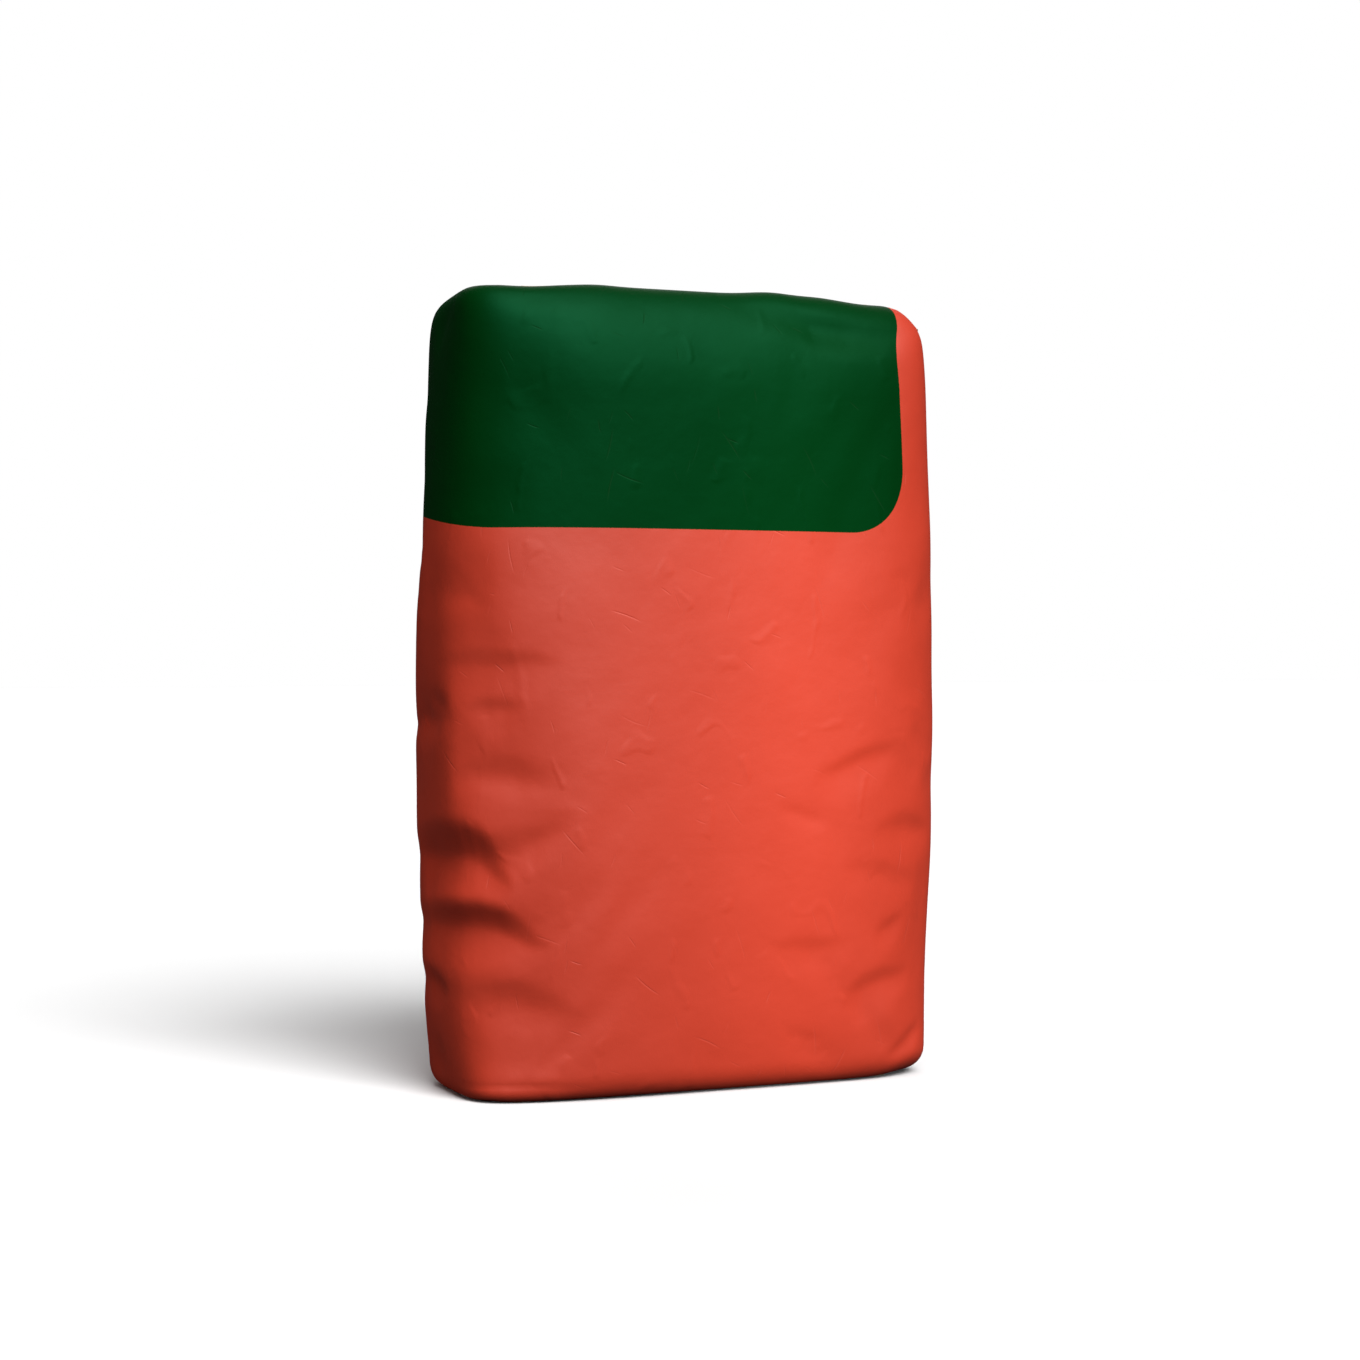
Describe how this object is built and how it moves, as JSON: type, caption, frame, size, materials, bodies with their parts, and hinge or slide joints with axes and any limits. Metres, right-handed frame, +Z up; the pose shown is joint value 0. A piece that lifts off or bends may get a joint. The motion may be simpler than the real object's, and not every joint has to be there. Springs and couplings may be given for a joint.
{
  "type": "cement bag",
  "caption": "Full paper sack of cement with square folded ends, printed in a dark green and a coral field, standing upright on its base.",
  "frame": {"origin": "middle of the base, on the surface that the sack stands on", "axes": "+Z up, the printed front panel faces -Y, and the filling valve is in the short side at +X"},
  "size_m": [0.317, 0.139, 0.48],
  "materials": {
    "printed_paper": "satin coral print, with a dark green field over the upper part",
    "cement": "fine grey powder, packed",
    "sleeve_paper": "plain kraft paper",
    "cover_paper": "plain kraft paper"
  },
  "bodies": {
    "root": {"paper_sack": "printed_paper", "cement_fill": "cement", "valve_sleeve": "sleeve_paper", "bottom_cover_sheet": "cover_paper", "top_cover_sheet": "cover_paper"}
  },
  "joints": []
}
